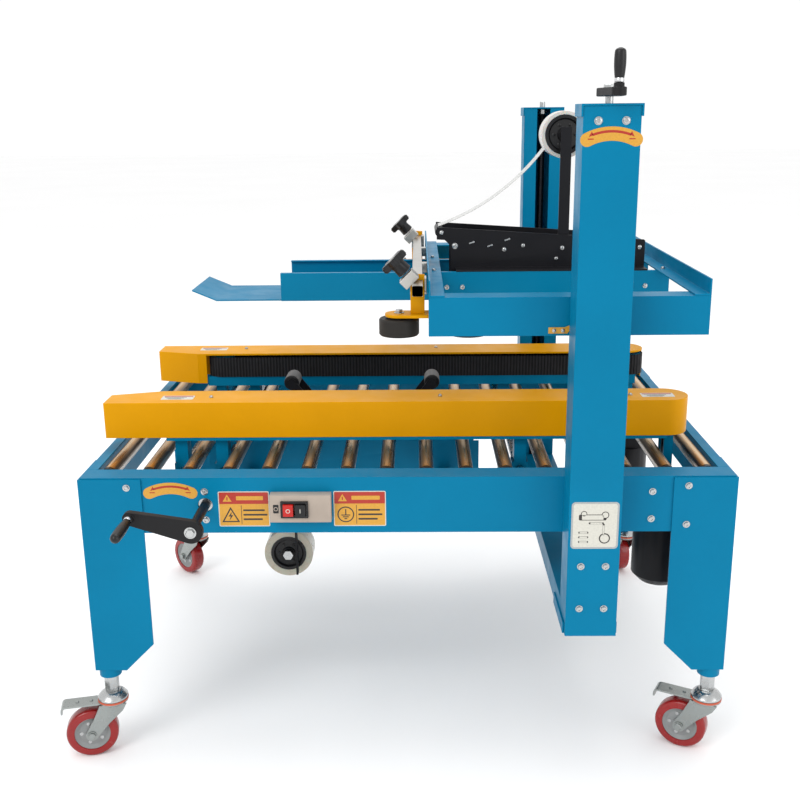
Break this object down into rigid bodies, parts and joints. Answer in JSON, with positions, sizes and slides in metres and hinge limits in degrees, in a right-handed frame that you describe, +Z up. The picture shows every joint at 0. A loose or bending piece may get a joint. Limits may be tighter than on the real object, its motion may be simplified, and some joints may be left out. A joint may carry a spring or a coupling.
{
  "type": "carton sealer machine",
  "caption": "Side-belt carton sealer: roller table on castors, two driven side belts, crank-lifted top tape head between two columns, and a lower tape head.",
  "frame": {"origin": "centre of the whole machine's footprint box, on the floor", "axes": "+X along the carton path from infeed to outfeed, +Y from the operator's side to the rear, +Z up"},
  "size_m": [1.1694, 1.0334, 1.1863],
  "materials": {
    "blue_paint": "gloss",
    "yellow_paint": "gloss",
    "black_paint": "satin",
    "zinc_steel": "satin",
    "roller_steel": "polished",
    "dark_steel": "satin",
    "belt_rubber": "matte",
    "grey_rubber": "matte",
    "red_tyre": "satin",
    "black_plastic": "gloss",
    "pale_plastic": "gloss",
    "red_plastic": "gloss",
    "tape_film": "gloss"
  },
  "bodies": {
    "frame": {"side_rails": "blue_paint", "end_rails": "blue_paint", "legs": "blue_paint", "rollers": "roller_steel", "lower_trough": "blue_paint", "slide_rods": "zinc_steel", "tie_beam": "blue_paint", "lift_chain": "dark_steel", "front_column": "blue_paint", "rear_column": "blue_paint", "frame_fasteners": "zinc_steel", "switch_box": "pale_plastic", "lower_cartridge": "black_paint"},
    "start_button": {"start_button": "black_plastic"},
    "stop_button": {"stop_button": "red_plastic"},
    "near_belt_unit": {"near_belt_carriage": "blue_paint", "near_belt_cover": "yellow_paint", "near_belt": "belt_rubber", "near_belt_motor": "black_paint"},
    "far_belt_unit": {"far_belt_carriage": "blue_paint", "far_belt_cover": "yellow_paint", "far_belt": "belt_rubber", "far_belt_motor": "black_paint"},
    "width_screw": {"width_screw": "dark_steel", "width_crank_arm": "black_paint"},
    "width_grip": {"width_crank_grip": "black_plastic"},
    "head": {"head_rails": "blue_paint", "head_end_angles": "blue_paint", "upper_trough": "blue_paint", "press_bar": "zinc_steel", "upper_cartridge": "black_paint", "upper_tape": "tape_film"},
    "front_lift_screw": {"front_lift_screw": "dark_steel", "lift_crank_arm": "black_paint"},
    "rear_lift_screw": {"rear_lift_screw": "dark_steel"},
    "lift_grip": {"lift_crank_grip": "black_plastic"},
    "near_press": {"near_press_bracket": "yellow_paint"},
    "far_press": {"far_press_bracket": "yellow_paint"},
    "upper_tape_roll": {"upper_tape_roll": "tape_film"},
    "lower_tape_roll": {"lower_tape_roll": "tape_film"},
    "front_left_castor": {"front_left_castor_fork": "zinc_steel"},
    "front_left_wheel": {"front_left_castor_wheel": "red_tyre"},
    "front_right_castor": {"front_right_castor_fork": "zinc_steel"},
    "front_right_wheel": {"front_right_castor_wheel": "red_tyre"},
    "rear_left_castor": {"rear_left_castor_fork": "zinc_steel"},
    "rear_left_wheel": {"rear_left_castor_wheel": "red_tyre"},
    "rear_right_castor": {"rear_right_castor_fork": "zinc_steel"},
    "rear_right_wheel": {"rear_right_castor_wheel": "red_tyre"},
    "upper_front_arm": {"upper_front_arm": "black_paint"},
    "upper_front_roller": {"upper_front_roller": "grey_rubber"},
    "upper_rear_arm": {"upper_rear_arm": "black_paint"},
    "upper_rear_roller": {"upper_rear_roller": "grey_rubber"},
    "lower_front_arm": {"lower_front_arm": "black_paint"},
    "lower_front_roller": {"lower_front_roller": "grey_rubber"},
    "lower_rear_arm": {"lower_rear_arm": "black_paint"},
    "lower_rear_roller": {"lower_rear_roller": "grey_rubber"},
    "near_infeed_press_wheel": {"near_infeed_press_wheel": "black_plastic"},
    "near_outfeed_press_wheel": {"near_outfeed_press_wheel": "black_plastic"},
    "far_infeed_press_wheel": {"far_infeed_press_wheel": "black_plastic"},
    "far_outfeed_press_wheel": {"far_outfeed_press_wheel": "black_plastic"}
  },
  "joints": [
    {"name": "front_left_castor_swivel", "type": "hinge", "parent": "frame", "child": "front_left_castor", "pos_m": [-0.49364, -0.29942, 0.108], "axis": [0, 0, 1], "continuous": true},
    {"name": "front_left_wheel_spin", "type": "hinge", "parent": "front_left_castor", "child": "front_left_wheel", "pos_m": [-0.53261, -0.30842, 0.045], "axis": [0.225, -0.9744, 0], "continuous": true},
    {"name": "front_right_castor_swivel", "type": "hinge", "parent": "frame", "child": "front_right_castor", "pos_m": [0.55636, -0.29942, 0.108], "axis": [0, 0, 1], "continuous": true},
    {"name": "front_right_wheel_spin", "type": "hinge", "parent": "front_right_castor", "child": "front_right_wheel", "pos_m": [0.52104, -0.28064, 0.045], "axis": [-0.4695, -0.8829, 0], "continuous": true},
    {"name": "rear_left_castor_swivel", "type": "hinge", "parent": "frame", "child": "rear_left_castor", "pos_m": [-0.49364, 0.43058, 0.108], "axis": [0, 0, 1], "continuous": true},
    {"name": "rear_left_wheel_spin", "type": "hinge", "parent": "rear_left_castor", "child": "rear_left_wheel", "pos_m": [-0.52336, 0.45735, 0.045], "axis": [-0.6691, -0.7431, 0], "continuous": true},
    {"name": "rear_right_castor_swivel", "type": "hinge", "parent": "frame", "child": "rear_right_castor", "pos_m": [0.55636, 0.43058, 0.108], "axis": [0, 0, 1], "continuous": true},
    {"name": "rear_right_wheel_spin", "type": "hinge", "parent": "rear_right_castor", "child": "rear_right_wheel", "pos_m": [0.54941, 0.46997, 0.045], "axis": [-0.9848, -0.1736, 0], "continuous": true},
    {"name": "near_belt_slide", "type": "slide", "parent": "frame", "child": "near_belt_unit", "axis": [0, 1, 0], "range_m": [-0.095, 0.085]},
    {"name": "far_belt_slide", "type": "slide", "parent": "frame", "child": "far_belt_unit", "axis": [0, 1, 0], "range_m": [-0.085, 0.095]},
    {"name": "width_screw_turn", "type": "hinge", "parent": "frame", "child": "width_screw", "pos_m": [-0.30364, -0.37442, 0.476], "axis": [0, 1, 0], "range_deg": [-4280, 3830]},
    {"name": "width_grip_spin", "type": "hinge", "parent": "width_screw", "child": "width_grip", "pos_m": [-0.39792, -0.46742, 0.49881], "axis": [0, -1, 0], "continuous": true},
    {"name": "head_lift", "type": "slide", "parent": "frame", "child": "head", "axis": [0, 0, 1], "range_m": [-0.1, 0.25]},
    {"name": "front_lift_screw_turn", "type": "hinge", "parent": "frame", "child": "front_lift_screw", "pos_m": [0.33336, -0.34792, 0.7], "axis": [0, 0, 1], "range_deg": [-4510, 11260]},
    {"name": "rear_lift_screw_turn", "type": "hinge", "parent": "frame", "child": "rear_lift_screw", "pos_m": [0.33336, 0.47908, 0.7], "axis": [0, 0, 1], "range_deg": [-4510, 11260]},
    {"name": "lift_grip_spin", "type": "hinge", "parent": "front_lift_screw", "child": "lift_grip", "pos_m": [0.33546, -0.40788, 1.16], "axis": [0, 0, 1], "continuous": true},
    {"name": "upper_front_arm_swing", "type": "hinge", "parent": "head", "child": "upper_front_arm", "pos_m": [0.20136, 0.06558, 0.795], "axis": [0, 1, 0], "range_deg": [0, 46], "stiffness_Nm_per_rad": 3, "springref_deg": -28.65},
    {"name": "upper_rear_arm_swing", "type": "hinge", "parent": "head", "child": "upper_rear_arm", "pos_m": [0.36136, 0.06558, 0.795], "axis": [0, -1, 0], "range_deg": [0, 46], "stiffness_Nm_per_rad": 3, "springref_deg": -28.65},
    {"name": "upper_front_roller_spin", "type": "hinge", "parent": "upper_front_arm", "child": "upper_front_roller", "pos_m": [0.13136, 0.06558, 0.709], "axis": [0, 1, 0], "continuous": true},
    {"name": "upper_rear_roller_spin", "type": "hinge", "parent": "upper_rear_arm", "child": "upper_rear_roller", "pos_m": [0.43136, 0.06558, 0.709], "axis": [0, 1, 0], "continuous": true},
    {"name": "lower_front_arm_swing", "type": "hinge", "parent": "frame", "child": "lower_front_arm", "pos_m": [-0.12064, 0.06558, 0.49], "axis": [0, -1, 0], "range_deg": [0, 46], "stiffness_Nm_per_rad": 3, "springref_deg": -28.65},
    {"name": "lower_rear_arm_swing", "type": "hinge", "parent": "frame", "child": "lower_rear_arm", "pos_m": [0.00336, 0.06558, 0.49], "axis": [0, 1, 0], "range_deg": [0, 46], "stiffness_Nm_per_rad": 3, "springref_deg": -28.65},
    {"name": "lower_front_roller_spin", "type": "hinge", "parent": "lower_front_arm", "child": "lower_front_roller", "pos_m": [-0.19664, 0.06558, 0.593], "axis": [0, 1, 0], "continuous": true},
    {"name": "lower_rear_roller_spin", "type": "hinge", "parent": "lower_rear_arm", "child": "lower_rear_roller", "pos_m": [0.07936, 0.06558, 0.593], "axis": [0, 1, 0], "continuous": true},
    {"name": "upper_tape_roll_spin", "type": "hinge", "parent": "head", "child": "upper_tape_roll", "pos_m": [0.32436, 0.06558, 1.061], "axis": [0, 1, 0], "continuous": true},
    {"name": "lower_tape_roll_spin", "type": "hinge", "parent": "frame", "child": "lower_tape_roll", "pos_m": [-0.21664, 0.06558, 0.23], "axis": [0, 1, 0], "continuous": true},
    {"name": "near_press_slide", "type": "slide", "parent": "head", "child": "near_press", "axis": [0, 1, 0], "range_m": [0, 0.15]},
    {"name": "far_press_slide", "type": "slide", "parent": "head", "child": "far_press", "axis": [0, -1, 0], "range_m": [0, 0.15]},
    {"name": "near_infeed_press_wheel_spin", "type": "hinge", "parent": "near_press", "child": "near_infeed_press_wheel", "pos_m": [0.02136, -0.25142, 0.764], "axis": [0, 0, 1], "continuous": true},
    {"name": "near_outfeed_press_wheel_spin", "type": "hinge", "parent": "near_press", "child": "near_outfeed_press_wheel", "pos_m": [0.13436, -0.25142, 0.764], "axis": [0, 0, 1], "continuous": true},
    {"name": "far_infeed_press_wheel_spin", "type": "hinge", "parent": "far_press", "child": "far_infeed_press_wheel", "pos_m": [0.02136, 0.38258, 0.764], "axis": [0, 0, 1], "continuous": true},
    {"name": "far_outfeed_press_wheel_spin", "type": "hinge", "parent": "far_press", "child": "far_outfeed_press_wheel", "pos_m": [0.13436, 0.38258, 0.764], "axis": [0, 0, 1], "continuous": true},
    {"name": "start_press", "type": "slide", "parent": "frame", "child": "start_button", "axis": [0, 1, 0], "range_m": [0, 0.003], "stiffness_N_per_m": 300, "springref_m": -0.002},
    {"name": "stop_press", "type": "slide", "parent": "frame", "child": "stop_button", "axis": [0, 1, 0], "range_m": [0, 0.003], "stiffness_N_per_m": 300, "springref_m": -0.002}
  ],
  "couplings": [
    {"joint": "far_belt_slide", "follows": "near_belt_slide", "ratio": -1},
    {"joint": "width_screw_turn", "follows": "near_belt_slide", "rad_per_m": 785.4},
    {"joint": "front_lift_screw_turn", "follows": "head_lift", "rad_per_m": 785.4},
    {"joint": "rear_lift_screw_turn", "follows": "head_lift", "rad_per_m": 785.4},
    {"joint": "upper_rear_arm_swing", "follows": "upper_front_arm_swing", "ratio": 1},
    {"joint": "lower_rear_arm_swing", "follows": "lower_front_arm_swing", "ratio": 1}
  ]
}
